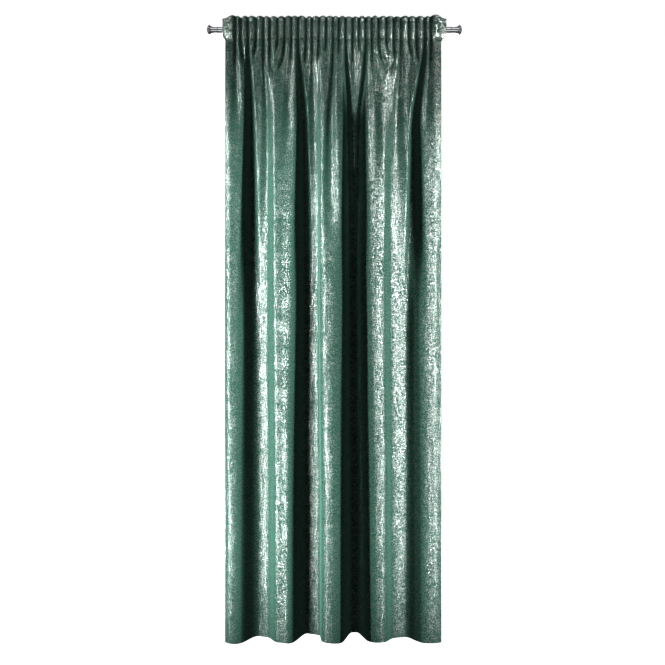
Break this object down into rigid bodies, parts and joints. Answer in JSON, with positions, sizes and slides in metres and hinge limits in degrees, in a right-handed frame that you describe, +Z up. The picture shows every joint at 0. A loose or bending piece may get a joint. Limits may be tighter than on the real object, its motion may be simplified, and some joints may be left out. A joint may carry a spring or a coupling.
{
  "type": "gathered curtain on a rod",
  "caption": "Long velvet curtain with a foil crackle, gathered at its heading on a chrome rod with flared finials, hanging in deep soft folds.",
  "frame": {"origin": "on the rod's axis, midway between its finials", "axes": "+Z up, +X along the rod to the right seen from the room, -Y towards the room"},
  "size_m": [1.0296, 0.133, 2.5039],
  "materials": {
    "velvet": "dark green velvet with a silver foil crackle",
    "chrome": "polished chrome plate"
  },
  "bodies": {
    "root": {"curtain_panel": "velvet", "rod": "chrome", "finial_left": "chrome", "finial_right": "chrome"}
  },
  "joints": []
}
